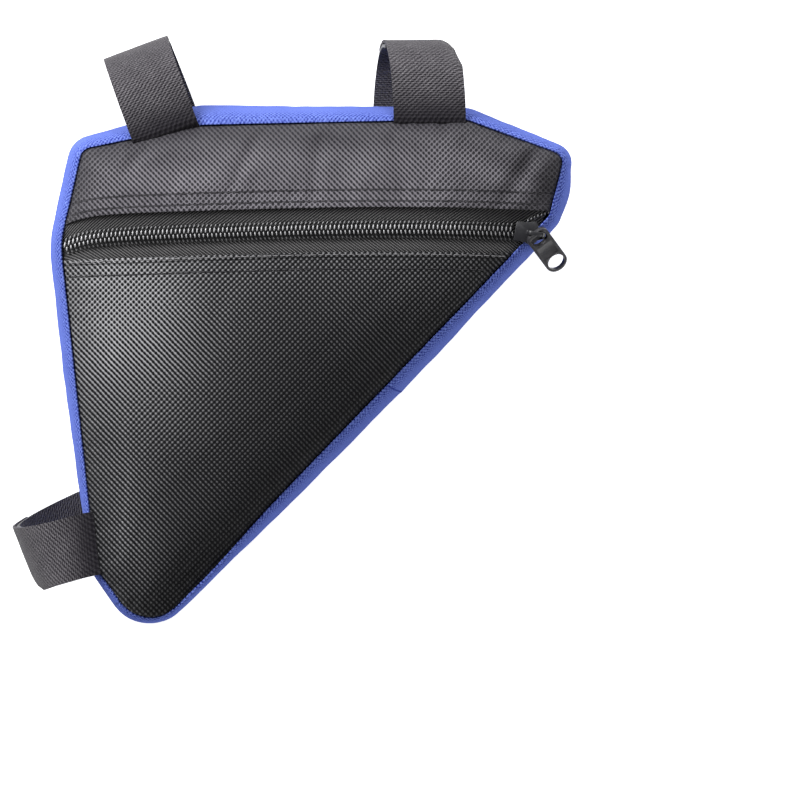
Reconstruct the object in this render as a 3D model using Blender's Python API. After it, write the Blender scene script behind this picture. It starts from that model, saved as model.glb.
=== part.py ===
"""A soft triangular bag that hangs in a bicycle frame, lying on its back panel, zip side up.

X runs along the top edge, Y up towards the top tube and Z out of the front panel. The origin is
under the middle of the whole bag, on the surface that it lies on. All lengths are in metres.
"""

import math
from collections import namedtuple

import bmesh
import bpy
import numpy as np
from mathutils import Matrix, Vector
from mathutils.geometry import delaunay_2d_cdt

# The front seam's outline, measured to its corners before they are rounded
BAG_WIDTH = 0.195
BAG_HEIGHT = 0.1996
CORNER_RADIUS = 0.0154

# Depth of the bag, from the surface it lies on
GUSSET_DEPTH = 0.038
BACK_SAG = 0.004
BACK_SAG_REACH = 0.020
DOME_HEIGHT = 0.0175
DOME_REACH = 0.030
SEAM_REACH = 0.004
GUSSET_BULGE = 0.0077
GUSSET_SQUARENESS = 0.5

# Cloth and the clearance that neighbouring pieces keep
WALL = 0.0015
GAP = 0.0003

# Zip
TAPE_THICKNESS = 0.001
TAPE_ABOVE = 0.0092
TAPE_BELOW = 0.0080
TAPE_TUCK = 0.003
TAPE_DROP = 0.0008
COIL_LIFT = 0.0005
COIL_WIDTH = 0.0060
COIL_HEIGHT = 0.0024

# Slider, with the bridge that holds the pull
SLIDER_LENGTH = 0.0118
SLIDER_WIDTH = 0.0100
SLIDER_PLATE = 0.0013
SLIDER_TURN = math.radians(-10)
CHANNEL_WIDTH = COIL_WIDTH + 2 * GAP
BRIDGE_LENGTH = 0.0070
BRIDGE_WIDTH = 0.0016
BRIDGE_THICKNESS = 0.0010
BRIDGE_SINK = 0.0005
BRIDGE_SEAT = 0.0022
ARCH_SQUARENESS = 0.4
EYE_HEIGHT = 0.0042

# Pull
PULL_LENGTH = 0.0228
PULL_WIDTH = 0.0090
PULL_THICKNESS = 0.0016
PULL_TURN = math.radians(-52.5)
PULL_DROOP = math.radians(42)
PULL_BAR = 0.0016
PULL_SIDE = 0.0011
PULL_SEAT = -0.0002
PULL_EYE_LENGTH = 0.0048
PULL_HOLE_RADIUS = 0.0035
PULL_RIM = 0.0012
PULL_RECESS = 0.0003
PULL_CORNER_SHARE = 0.30
EYE_CORNER_SHARE = 0.12
EYE_ROUND_SHARE = 0.8

# Straps of hook-and-loop tape
STRAP_WIDTH = 0.025
STRAP_THICKNESS = 0.0014
STRAP_REACH = 0.031
LOOP_BAND_END = 0.70
HOOK_BAND_START = 0.42

# Fineness of the facets
ARC_STEP = math.radians(16)
SIDE_STEP = 0.017
GRID_STEP = 0.0085
RING_INSETS = (0.003, 0.008)
PROFILE_STEPS = 7
BAND_STEPS = 20
ZIP_STEP = 0.007
ARCH_STEPS = 12
CORNER_STEPS = 4
HOLE_STEPS = 18
RING_CLEARANCE = 0.6
GRID_CLEARANCE = 0.5
ZIP_CLEARANCE = 0.3
BASE_STEPS = 5

BACK_SEAM = BACK_SAG
FRONT_SEAM = BACK_SAG + GUSSET_DEPTH

Corner = namedtuple("Corner", "name across up radius bulge belly")
# across and up are shares of the width and height; radius, bulge and belly are shares of
# CORNER_RADIUS and GUSSET_BULGE; belly swells the middle of the side that follows the corner
CORNERS = (
    Corner("bottom", 0.169, 0.000, 0.90, 0.34, 0.22),
    Corner("right_low", 0.969, 0.811, 0.35, 0.60, 0.00),
    Corner("right_top", 1.000, 0.930, 0.30, 0.42, 0.00),
    Corner("top_right", 0.803, 1.000, 0.62, 0.60, 0.00),
    Corner("top_left", 0.277, 0.989, 0.75, 1.00, 0.00),
    Corner("left_top", 0.043, 0.942, 0.35, 0.62, 0.00),
    Corner("left_wide", 0.000, 0.760, 2.20, 0.57, 0.08),
    Corner("left_low", 0.070, 0.129, 0.80, 0.28, 0.00),
)

ZipPoint = namedtuple("ZipPoint", "across up")
# The middle of the zip, from the left seam to the right one
ZIP_LINE = (
    ZipPoint(0.000, 0.7685),
    ZipPoint(0.350, 0.7790),
    ZipPoint(0.670, 0.7855),
    ZipPoint(0.900, 0.7790),
    ZipPoint(1.000, 0.7760),
)
SLIDER_ACROSS = 0.929

Fold = namedtuple("Fold", "name across up turn along wide depth")
# along and wide are shares of the bag's width; depth is the share of the dome that is lost
FOLDS = (
    Fold("flat_under_slider", 0.930, 0.785, 0, 0.115, 0.085, 0.78),
    Fold("dip_under_top_edge", 0.560, 0.940, -2, 0.160, 0.030, 0.30),
    Fold("dip_by_left_strap", 0.250, 0.905, 14, 0.120, 0.030, 0.22),
    Fold("crease_to_right_corner", 0.900, 0.890, -24, 0.130, 0.022, 0.24),
    Fold("fold_to_bottom_corner", 0.270, 0.120, 45, 0.150, 0.026, 0.26),
    Fold("dip_along_diagonal", 0.640, 0.560, 46, 0.220, 0.030, 0.14),
)

Strap = namedtuple("Strap", "name across up turn width squareness skew")
# turn is the direction that the strap leaves the bag in; width is a share of STRAP_WIDTH, as the
# tape spreads where it is sewn in; skew is how far its back end lies to one side of its front end,
# as a share of the reach
STRAPS = (
    Strap("strap_top_left", 0.208, 0.976, 110.5, 1.048, 0.55, 0.03),
    Strap("strap_top_right", 0.731, 0.998, 90.0, 1.112, 0.55, -0.26),
    Strap("strap_seat_tube", 0.069, 0.181, 185.7, 0.980, 0.80, 0.30),
)

OutlinePoint = namedtuple("OutlinePoint", "along side")
# Half of the slider's outline, tail to nose, as shares of its length and half width
SLIDER_OUTLINE = (
    OutlinePoint(-0.50, 0.66),
    OutlinePoint(-0.46, 0.74),
    OutlinePoint(-0.12, 0.76),
    OutlinePoint(0.02, 0.90),
    OutlinePoint(0.14, 0.92),
    OutlinePoint(0.28, 0.46),
    OutlinePoint(0.44, 0.32),
    OutlinePoint(0.50, 0.20),
)

CoilPoint = namedtuple("CoilPoint", "side height")
# The zip chain's section, as shares of its half width and height
COIL_SECTION = (
    CoilPoint(-1.00, 0.00),
    CoilPoint(-1.00, 0.45),
    CoilPoint(-0.68, 0.92),
    CoilPoint(-0.20, 1.00),
    CoilPoint(0.20, 1.00),
    CoilPoint(0.68, 0.92),
    CoilPoint(1.00, 0.45),
    CoilPoint(1.00, 0.00),
)

Station = namedtuple("Station", "point normal bulge")


# Plan of the seam
def corner_points():
    return [Vector((c.across * BAG_WIDTH, c.up * BAG_HEIGHT)) for c in CORNERS]


def unit_at(angle):
    return Vector((math.cos(angle), math.sin(angle)))


def arc_stations(before, corner, after, radius, bulge):
    """Stations along the arc that rounds one corner of the seam."""
    into = (corner - before).normalized()
    out = (after - corner).normalized()
    turn = into.angle_signed(out) * -1
    tangent = radius * math.tan(turn / 2)
    start = corner - into * tangent
    centre = start + Vector((-into.y, into.x)) * radius
    first = math.atan2(start.y - centre.y, start.x - centre.x)
    steps = max(2, math.ceil(turn / ARC_STEP))
    stations = []
    for step in range(steps + 1):
        normal = unit_at(first + turn * step / steps)
        stations.append(Station(centre + normal * radius, normal, bulge))
    return stations


def seam_stations():
    """The rounded seam, counter-clockwise, with the way out and the bulge at each point."""
    points = corner_points()
    count = len(points)
    arcs = []
    for i, corner in enumerate(CORNERS):
        radius = corner.radius * CORNER_RADIUS
        bulge = corner.bulge * GUSSET_BULGE
        arcs.append(arc_stations(points[i - 1], points[i], points[(i + 1) % count], radius, bulge))
    stations = []
    for i, corner in enumerate(CORNERS):
        stations += arcs[i]
        start, end = arcs[i][-1], arcs[(i + 1) % count][0]
        side = end.point - start.point
        steps = max(1, round(side.length / SIDE_STEP))
        for step in range(1, steps):
            share = step / steps
            belly = corner.belly * GUSSET_BULGE * math.sin(math.pi * share)
            bulge = start.bulge + (end.bulge - start.bulge) * share + belly
            stations.append(Station(start.point + side * share, start.normal, bulge))
    return stations


SEAM = seam_stations()


def seam_outline(outset):
    return [station.point + station.normal * outset for station in SEAM]


SEAM_LINE = seam_outline(0)


def inside(point, outline):
    found = False
    for a, b in zip(outline, outline[1:] + outline[:1]):
        if (a.y > point.y) != (b.y > point.y):
            if point.x < a.x + (b.x - a.x) * (point.y - a.y) / (b.y - a.y):
                found = not found
    return found


def distance_to(point, outline):
    nearest = math.inf
    for a, b in zip(outline, outline[1:] + outline[:1]):
        along = b - a
        share = max(0.0, min(1.0, (point - a).dot(along) / along.length_squared))
        nearest = min(nearest, (point - a - along * share).length)
    return nearest


def deep_inside(point, outline, margin):
    return inside(point, outline) and distance_to(point, outline) > margin


# Height of the cloth
def side_distance(point):
    """A soft distance to the straight sides, so that the dome has no hard ridges."""
    points = corner_points()
    total = 0.0
    for a, b in zip(points, points[1:] + points[:1]):
        side = (b - a).normalized()
        away = max(1e-5, side.x * (point.y - a.y) - side.y * (point.x - a.x))
        total += away ** -2
    return total ** -0.5


def fold_share(point):
    share = 1.0
    for fold in FOLDS:
        centre = Vector((fold.across * BAG_WIDTH, fold.up * BAG_HEIGHT))
        along = unit_at(math.radians(fold.turn))
        offset = point - centre
        length = offset.dot(along) / (fold.along * BAG_WIDTH)
        width = (along.x * offset.y - along.y * offset.x) / (fold.wide * BAG_WIDTH)
        share *= 1 - fold.depth * math.exp(-length * length - width * width)
    return share


def front_height(point):
    """Top of the front cloth: it rises from the seam and is fullest in the middle."""
    spread = 1 - math.exp(-side_distance(point) / DOME_REACH)
    lift = 1 - math.exp(-distance_to(point, SEAM_LINE) / SEAM_REACH)
    return FRONT_SEAM + DOME_HEIGHT * math.sqrt(spread * lift) * fold_share(point)


def back_height(point):
    """Underside of the back panel: flat where it lies, and lifted to the seam at its edge."""
    share = min(1.0, distance_to(point, SEAM_LINE) / BACK_SAG_REACH)
    return BACK_SAG * (1 - share) ** 2


def zip_middle(x):
    """Height up the plan of the zip's middle at this x, on a smooth curve."""
    places = np.array([p.across * BAG_WIDTH for p in ZIP_LINE])
    ups = np.array([p.up * BAG_HEIGHT for p in ZIP_LINE])
    return float(np.polyval(np.polyfit(places, ups, 3), x))


# Meshes
def material(name, colour, roughness, metallic=0.0):
    made = bpy.data.materials.new(name)
    made.use_nodes = True
    shader = made.node_tree.nodes["Principled BSDF"]
    shader.inputs["Base Color"].default_value = (*colour, 1)
    shader.inputs["Roughness"].default_value = roughness
    shader.inputs["Metallic"].default_value = metallic
    made.diffuse_color = (*colour, 1)
    return made


def finish(name, mesh_data, finish_material, smooth=True):
    """Makes an object of a bmesh, with its faces pointing out."""
    bmesh.ops.recalc_face_normals(mesh_data, faces=mesh_data.faces)
    mesh = bpy.data.meshes.new(name)
    mesh_data.to_mesh(mesh)
    mesh_data.free()
    if smooth:
        mesh.shade_smooth()
        mesh.set_sharp_from_angle(angle=math.radians(40))
    mesh.materials.append(finish_material)
    made = bpy.data.objects.new(name, mesh)
    bpy.context.scene.collection.objects.link(made)
    return made


def sheet(name, outline, top, thickness, cloth):
    """A wall of cloth over a plan outline; top gives the height of its upper face."""
    points = list(outline)
    for inset in RING_INSETS:
        points += [p for p in seam_outline(-inset) if deep_inside(p, outline, inset * RING_CLEARANCE)]
    rings = points[len(outline):]
    lows = np.min(outline, axis=0)
    highs = np.max(outline, axis=0)
    for x in np.arange(lows[0] + GRID_STEP / 2, highs[0], GRID_STEP):
        for y in np.arange(lows[1] + GRID_STEP / 2, highs[1], GRID_STEP):
            point = Vector((x, y))
            clear = all((point - ring).length > GRID_STEP * GRID_CLEARANCE for ring in rings)
            if clear and deep_inside(point, outline, GRID_STEP * GRID_CLEARANCE):
                points.append(point)
    loop = [(i, (i + 1) % len(outline)) for i in range(len(outline))]
    places, _, faces, *_ = delaunay_2d_cdt(points, loop, [], 1, 1e-7)
    work = bmesh.new()
    upper = [work.verts.new((*p, top(Vector(p)))) for p in places]
    lower = [work.verts.new(v.co - Vector((0, 0, thickness))) for v in upper]
    for face in faces:
        work.faces.new([upper[i] for i in face])
        work.faces.new([lower[i] for i in reversed(face)])
    for edge in [e for e in work.edges if e.is_boundary and e.verts[0] in set(upper)]:
        a, b = edge.verts
        under_a, under_b = lower[upper.index(a)], lower[upper.index(b)]
        work.faces.new([b, a, under_a, under_b])
    return finish(name, work, cloth)


def swept(name, rings, cloth, closed=False):
    """A solid through rings of points; closed joins the last ring to the first."""
    work = bmesh.new()
    made = [[work.verts.new(p) for p in ring] for ring in rings]
    pairs = list(zip(made, made[1:] + made[:1]))
    for ring, following in pairs if closed else pairs[:-1]:
        for i in range(len(ring)):
            j = (i + 1) % len(ring)
            work.faces.new([ring[i], ring[j], following[j], following[i]])
    if not closed:
        work.faces.new(made[0])
        work.faces.new(reversed(made[-1]))
    return finish(name, work, cloth)


def prism(name, outline, low, high, metal):
    """A plan outline given a height."""
    work = bmesh.new()
    base = work.faces.new([work.verts.new((x, y, low)) for x, y in outline])
    raised = bmesh.ops.extrude_face_region(work, geom=[base])["geom"]
    moved = [item for item in raised if isinstance(item, bmesh.types.BMVert)]
    bmesh.ops.translate(work, verts=moved, vec=(0, 0, high - low))
    return finish(name, work, metal)


def combine(target, other, operation):
    """Joins a shape to the target or cuts it away; the other stays as a hidden guide."""
    modifier = target.modifiers.new(other.name, "BOOLEAN")
    modifier.operation = operation
    modifier.object = other
    other.hide_render = True
    other.display_type = "WIRE"
    other.parent = target


# Cloth pieces
def gusset(cloth):
    """The side wall: a ring that bulges out between the back and front seams."""
    rings = []
    for station in SEAM:
        outer = []
        for step in range(PROFILE_STEPS + 1):
            share = (1 - math.cos(math.pi * step / PROFILE_STEPS)) / 2
            out = GAP / 2 + station.bulge * math.sin(math.pi * share) ** GUSSET_SQUARENESS
            outer.append(Vector((out, BACK_SEAM + GUSSET_DEPTH * share)))
        section = outer + list(reversed(inner_side(outer)))
        rings.append([(*(station.point + station.normal * p.x), p.y) for p in section])
    return swept("gusset", rings, cloth, closed=True)


def inner_side(outer):
    """The wall's inner face, one wall in from the outer one, square to it."""
    inner = []
    for i, point in enumerate(outer):
        along = outer[min(i + 1, len(outer) - 1)] - outer[max(i - 1, 0)]
        if i in (0, len(outer) - 1):
            step_in = Vector((0, WALL if i == 0 else -WALL))
        else:
            along.normalize()
            step_in = Vector((-along.y, along.x)) * WALL
        inner.append(Vector((max(GAP / 2, point.x + step_in.x), point.y + step_in.y)))
    return inner


def zip_edge(outline, offset):
    """Points along the zip at this distance above its middle, right to left."""
    places = [x for x in np.arange(0, BAG_WIDTH, ZIP_STEP)]
    edge = [Vector((x, zip_middle(x) + offset)) for x in reversed(places)]
    return [p for p in edge if deep_inside(p, outline, ZIP_STEP * ZIP_CLEARANCE)]


def crossings(outline, offset):
    """Where the outline crosses the line at this distance above the zip's middle."""
    found = []
    for i, a in enumerate(outline):
        b = outline[(i + 1) % len(outline)]
        over_a = a.y - zip_middle(a.x) - offset
        over_b = b.y - zip_middle(b.x) - offset
        if (over_a > 0) != (over_b > 0):
            found.append((i, a.lerp(b, over_a / (over_a - over_b))))
    return sorted(found, key=lambda item: -item[1].x)


def part_above(outline, offset):
    """The part of the outline above a line that runs beside the zip."""
    (right_at, right), (left_at, left) = crossings(outline, offset)
    count = len(outline)
    kept = [outline[i % count] for i in range(right_at + 1, left_at + 1 + count)]
    kept = kept[: (left_at - right_at) % count]
    return [right] + kept + [left] + list(reversed(zip_edge(outline, offset)))


def part_below(outline, offset):
    (right_at, right), (left_at, left) = crossings(outline, offset)
    count = len(outline)
    kept = [outline[(left_at + 1 + i) % count] for i in range((right_at - left_at) % count)]
    return [left] + kept + [right] + zip_edge(outline, offset)


def strip(outline, low, high):
    """The part of the outline between two lines that run beside the zip."""
    (right_at, right), (left_at, left) = crossings(outline, low)
    (right_to, right_up), (left_to, left_up) = crossings(outline, high)
    count = len(outline)
    rise = [outline[(right_at + 1 + i) % count] for i in range((right_to - right_at) % count)]
    fall = [outline[(left_to + 1 + i) % count] for i in range((left_at - left_to) % count)]
    top = [right] + rise + [right_up] + zip_edge(outline, high)
    return top + [left_up] + fall + [left] + list(reversed(zip_edge(outline, low)))


def tape_height(point):
    return front_height(point) - WALL - TAPE_DROP


def front_pieces(panel_cloth, tape_cloth):
    outline = seam_outline(-GAP / 2)
    upper = part_above(outline, TAPE_ABOVE)
    lower = part_below(outline, -TAPE_BELOW)
    upper_tape = strip(outline, GAP / 2, TAPE_ABOVE + TAPE_TUCK)
    lower_tape = strip(outline, -TAPE_BELOW - TAPE_TUCK, -GAP / 2)
    return [
        sheet("front_panel_upper", upper, front_height, WALL, panel_cloth),
        sheet("front_panel_lower", lower, front_height, WALL, panel_cloth),
        sheet("zip_tape_upper", upper_tape, tape_height, TAPE_THICKNESS, tape_cloth),
        sheet("zip_tape_lower", lower_tape, tape_height, TAPE_THICKNESS, tape_cloth),
    ]


def back_panel(cloth):
    def top(point):
        return back_height(point) + WALL

    return sheet("back_panel", seam_outline(-GAP / 2), top, WALL, cloth)


def zip_coil(plastic):
    """The closed chain, from the left seam to the slider's tail."""
    outline = seam_outline(-GAP / 2)
    edges = [crossings(outline, side * COIL_WIDTH / 2)[-1][1].x for side in (-1, 1)]
    left = max(edges) + GAP
    tail_lean = abs(math.sin(SLIDER_TURN)) * SLIDER_WIDTH / 2
    right = SLIDER_ACROSS * BAG_WIDTH - SLIDER_LENGTH / 2 - tail_lean - GAP
    between = [x for x in np.arange(0, BAG_WIDTH, ZIP_STEP) if left + GAP < x < right - GAP]
    rings = []
    for x in [left, *between, right]:
        ring = []
        for place in COIL_SECTION:
            point = Vector((x, zip_middle(x) + place.side * COIL_WIDTH / 2))
            low = tape_height(point) + COIL_LIFT
            ring.append((*point, low + place.height * COIL_HEIGHT))
        rings.append(ring)
    return swept("zip_coil", rings, plastic)


# Straps
def ray_length(start, direction, outline):
    """How far from start, along direction, the outline lies."""
    for a, b in zip(outline, outline[1:] + outline[:1]):
        side = b - a
        spread = direction.x * side.y - direction.y * side.x
        if abs(spread) < 1e-12:
            continue
        offset = a - start
        length = (offset.x * side.y - offset.y * side.x) / spread
        share = (offset.x * direction.y - offset.y * direction.x) / spread
        if 0 <= share <= 1 and abs(length) < STRAP_REACH:
            return length
    return 0.0


def base_reaches(left, right, out, outline):
    """Where a strap's two edges start, far enough out that its end clears a rounded seam."""
    reaches = [ray_length(left, out, outline), ray_length(right, out, outline)]
    clear = 0.0
    for step in range(1, BASE_STEPS):
        share = step / BASE_STEPS
        straight = reaches[0] + (reaches[1] - reaches[0]) * share
        clear = max(clear, ray_length(left.lerp(right, share), out, outline) - straight)
    return [reach + clear for reach in reaches]


def strap_path(strap, inset):
    """(reach, height) along the loop from its front end, moved in by inset."""
    top = FRONT_SEAM + GAP + STRAP_THICKNESS / 2
    bottom = BACK_SEAM - GAP - STRAP_THICKNESS / 2 - (STRAP_THICKNESS + GAP)
    middle, half = (top + bottom) / 2, (top - bottom) / 2
    path = []
    for step in range(BAND_STEPS + 1):
        angle = math.pi * step / BAND_STEPS
        out = STRAP_REACH * max(0.0, math.sin(angle)) ** strap.squareness
        path.append(Vector((out, middle + half * math.cos(angle))))
    moved = []
    for i, point in enumerate(path):
        along = path[min(i + 1, BAND_STEPS)] - path[max(i - 1, 0)]
        along.normalize()
        if i in (0, BAND_STEPS):
            along = Vector((1, 0)) if i == 0 else Vector((-1, 0))
        moved.append(point + Vector((along.y, -along.x)) * inset)
    return moved


def band(name, strap, inset, first, last, cloth):
    """One layer of a strap between two steps of its path; the end at the bag follows the seam."""
    base = Vector((strap.across * BAG_WIDTH, strap.up * BAG_HEIGHT))
    out = unit_at(math.radians(strap.turn))
    side = Vector((out.y, -out.x))
    outer = strap_path(strap, inset - STRAP_THICKNESS / 2)
    inner = strap_path(strap, inset + STRAP_THICKNESS / 2)
    outline = seam_outline(GAP / 2)
    rings = []
    for step in range(first, last + 1):
        middle = base + side * (strap.skew * STRAP_REACH * step / BAND_STEPS)
        half = strap.width * STRAP_WIDTH / 2
        starts = [middle - side * half, middle + side * half]
        ring = []
        for place, order in ((outer, (0, 1)), (inner, (1, 0))):
            reaches = [place[step].x] * 2
            if step in (0, BAND_STEPS):
                reaches = base_reaches(*starts, out, outline)
            for edge in order:
                ring.append((*(starts[edge] + out * reaches[edge]), place[step].y))
        rings.append(ring)
    return swept(name, rings, cloth)


def strap_pieces(cloth):
    made = []
    loop_last = round(LOOP_BAND_END * BAND_STEPS)
    hook_first = round(HOOK_BAND_START * BAND_STEPS)
    under = STRAP_THICKNESS + GAP
    for strap in STRAPS:
        made.append(band(strap.name + "_loop", strap, 0, 0, loop_last, cloth))
        made.append(band(strap.name + "_hook", strap, under, hook_first, BAND_STEPS, cloth))
    return made


# Slider and pull
def slider_place():
    """The middle of the slider on the zip, at the height of its plate's underside."""
    x = SLIDER_ACROSS * BAG_WIDTH
    middle = Vector((x, zip_middle(x)))
    tail = middle - unit_at(SLIDER_TURN) * SLIDER_LENGTH / 2
    highest = max(tape_height(p) for p in (middle, tail))
    return Vector((*middle, highest + COIL_HEIGHT + COIL_LIFT + GAP))


def slider_outline():
    half = [(p.along * SLIDER_LENGTH, p.side * SLIDER_WIDTH / 2) for p in SLIDER_OUTLINE]
    return half[::-1] + [(x, -y) for x, y in half]


def bridge_arch(metal):
    """A flat strip bent into an arch along the slider."""
    top = SLIDER_PLATE + EYE_HEIGHT + math.hypot(PULL_BAR, PULL_THICKNESS) / 2 + GAP
    foot = SLIDER_PLATE - BRIDGE_SINK
    rings = []
    for edge in (-0.5, 0.5):
        ring = []
        for grow, order in ((BRIDGE_THICKNESS, 1), (0, -1)):
            half = BRIDGE_LENGTH / 2 - BRIDGE_THICKNESS + grow
            height = top - foot + grow
            for step in range(ARCH_STEPS + 1)[::order]:
                angle = math.pi * step / ARCH_STEPS
                across = math.copysign(abs(math.cos(angle)) ** ARCH_SQUARENESS, math.cos(angle))
                up = max(0.0, math.sin(angle)) ** ARCH_SQUARENESS
                ring.append((BRIDGE_SEAT + half * across, edge * BRIDGE_WIDTH, foot + height * up))
        rings.append(ring)
    return swept("bridge", rings, metal)


def zip_slider(metal):
    place = slider_place()
    skirt = place.z - FRONT_SEAM - GAP
    body = prism("zip_slider", slider_outline(), -skirt, SLIDER_PLATE, metal)
    half = CHANNEL_WIDTH / 2
    past = SLIDER_LENGTH
    channel = [(-past, -half), (past, -half), (past, half), (-past, half)]
    combine(body, prism("channel", channel, -2 * skirt, 0, metal), "DIFFERENCE")
    combine(body, bridge_arch(metal), "UNION")
    body.location = place
    body.rotation_euler = (0, 0, SLIDER_TURN)
    return body


def rounded_end(centre, radius, first, last, steps):
    angles = [first + (last - first) * i / steps for i in range(steps + 1)]
    return [(centre[0] + radius * math.cos(a), centre[1] + radius * math.sin(a)) for a in angles]


def pull_outline():
    """The pull lies along +X from its bar; its eye end has small corners, its tip is round."""
    half = PULL_WIDTH / 2
    back = -PULL_BAR / 2
    corner = PULL_WIDTH * PULL_CORNER_SHARE
    tip = back + PULL_LENGTH - half
    outline = rounded_end((tip, 0), half, -math.pi / 2, math.pi / 2, ARCH_STEPS)
    outline += rounded_end((back + corner, half - corner), corner, math.pi / 2, math.pi, CORNER_STEPS)
    outline += rounded_end((back + corner, corner - half), corner, math.pi, 1.5 * math.pi, CORNER_STEPS)
    return outline


def pull_eye():
    half = PULL_WIDTH / 2 - PULL_SIDE
    near = PULL_BAR / 2
    far = near + PULL_EYE_LENGTH
    corner = PULL_WIDTH * EYE_CORNER_SHARE
    round_far = half * EYE_ROUND_SHARE
    outline = rounded_end((far - round_far, half - round_far), round_far, 0, math.pi / 2, CORNER_STEPS)
    outline += rounded_end((near + corner, half - corner), corner, math.pi / 2, math.pi, CORNER_STEPS)
    outline += rounded_end((near + corner, corner - half), corner, math.pi, 1.5 * math.pi, CORNER_STEPS)
    outline += rounded_end((far - round_far, round_far - half), round_far, -math.pi / 2, 0, CORNER_STEPS)
    return outline


def zip_pull(metal):
    """A flat pull with an eye round the bridge and a round hole at its tip."""
    half = PULL_THICKNESS / 2
    body = prism("zip_pull", pull_outline(), -half, half, metal)
    through = 2 * PULL_THICKNESS
    tip = PULL_LENGTH - PULL_BAR / 2 - PULL_WIDTH / 2
    hole = rounded_end((tip, 0), PULL_HOLE_RADIUS, 0, 2 * math.pi, HOLE_STEPS)[1:]
    combine(body, prism("pull_eye", pull_eye(), -through, through, metal), "DIFFERENCE")
    combine(body, prism("pull_hole", hole, -through, through, metal), "DIFFERENCE")
    web_start = PULL_BAR / 2 + PULL_EYE_LENGTH + PULL_RIM
    web_end = tip - PULL_HOLE_RADIUS - PULL_RIM / 2
    side = PULL_WIDTH / 2 - PULL_RIM
    web = [(web_start, -side), (web_end, -side), (web_end, side), (web_start, side)]
    for face, low in (("web_front", half - PULL_RECESS), ("web_back", -3 * half)):
        combine(body, prism(face, web, low, low + 2 * half + PULL_RECESS, metal), "DIFFERENCE")
    place = slider_place()
    body.location = place + Vector((0, 0, SLIDER_PLATE + EYE_HEIGHT))
    body.location += Matrix.Rotation(SLIDER_TURN, 3, "Z") @ Vector((BRIDGE_SEAT + PULL_SEAT, 0, 0))
    turn = Matrix.Rotation(PULL_TURN, 3, "Z") @ Matrix.Rotation(PULL_DROOP, 3, "Y")
    body.rotation_euler = turn.to_euler()
    return body


def centre_on_surface(pieces):
    """Puts the origin under the middle of the whole bag, on the surface that it lies on."""
    bpy.context.view_layer.update()
    graph = bpy.context.evaluated_depsgraph_get()
    corners = []
    for piece in pieces:
        evaluated = piece.evaluated_get(graph)
        corners += [evaluated.matrix_world @ v.co for v in evaluated.to_mesh().vertices]
        evaluated.to_mesh_clear()
    lows = np.min(corners, axis=0)
    highs = np.max(corners, axis=0)
    middle = (lows + highs) / 2
    frame = bpy.data.objects.new("bag_frame", None)
    bpy.context.scene.collection.objects.link(frame)
    for piece in pieces:
        piece.parent = frame
    frame.location = (-middle[0], -middle[1], -lows[2])


def build():
    for old in list(bpy.data.objects):
        bpy.data.objects.remove(old)
    black_cloth = material("black_oxford", (0.030, 0.029, 0.034), 0.75)
    blue_cloth = material("blue_oxford", (0.055, 0.105, 0.560), 0.70)
    tape_cloth = material("zip_tape", (0.022, 0.021, 0.024), 0.80)
    coil_plastic = material("zip_coil", (0.020, 0.020, 0.022), 0.35)
    strap_cloth = material("strap_tape", (0.040, 0.038, 0.043), 0.90)
    slider_metal = material("slider_metal", (0.025, 0.025, 0.028), 0.35, 0.8)
    pull_metal = material("pull_metal", (0.028, 0.028, 0.032), 0.40, 0.8)
    pieces = front_pieces(black_cloth, tape_cloth)
    pieces += [gusset(blue_cloth), back_panel(black_cloth), zip_coil(coil_plastic)]
    pieces += strap_pieces(strap_cloth)
    pieces += [zip_slider(slider_metal), zip_pull(pull_metal)]
    centre_on_surface(pieces)


build()
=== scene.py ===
# %% [markdown]
# # A bicycle frame bag
#
# A small soft bag that hangs inside a bicycle's frame: black oxford panels, a blue side wall, a
# coil zip and three straps. It lies on its back panel under the camera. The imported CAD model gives
# every place and size; here each cloth is made again, finer, with its weave and stitching.

import math
from collections import namedtuple
from functools import partialmethod

import bpy
import numpy as np
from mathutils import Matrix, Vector, noise
from mathutils.bvhtree import BVHTree


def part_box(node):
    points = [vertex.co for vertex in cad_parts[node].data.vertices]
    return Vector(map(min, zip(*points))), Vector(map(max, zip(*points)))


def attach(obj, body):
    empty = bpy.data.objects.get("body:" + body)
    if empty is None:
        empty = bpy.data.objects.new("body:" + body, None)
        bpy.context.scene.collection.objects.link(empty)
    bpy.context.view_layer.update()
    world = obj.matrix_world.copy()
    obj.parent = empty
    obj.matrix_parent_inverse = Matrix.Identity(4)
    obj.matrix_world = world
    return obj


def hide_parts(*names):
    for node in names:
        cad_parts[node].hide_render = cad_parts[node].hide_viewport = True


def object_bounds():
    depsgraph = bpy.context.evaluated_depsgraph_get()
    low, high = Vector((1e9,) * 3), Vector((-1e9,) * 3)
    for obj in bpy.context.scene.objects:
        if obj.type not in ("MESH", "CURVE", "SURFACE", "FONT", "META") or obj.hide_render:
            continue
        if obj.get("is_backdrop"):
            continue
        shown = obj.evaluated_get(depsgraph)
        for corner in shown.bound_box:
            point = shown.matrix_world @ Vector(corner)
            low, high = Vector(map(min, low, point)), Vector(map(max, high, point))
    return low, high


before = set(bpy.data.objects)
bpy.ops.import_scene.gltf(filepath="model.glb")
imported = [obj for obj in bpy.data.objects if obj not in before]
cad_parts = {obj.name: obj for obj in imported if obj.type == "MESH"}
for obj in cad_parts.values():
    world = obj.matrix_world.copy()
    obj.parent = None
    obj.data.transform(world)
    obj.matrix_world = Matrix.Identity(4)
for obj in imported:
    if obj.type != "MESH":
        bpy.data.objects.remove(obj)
cad_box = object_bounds()
bpy.ops.object.select_all(action="DESELECT")
print("nodes:", len(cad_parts), "box:", [round(c, 4) for corner in cad_box for c in corner])

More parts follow.
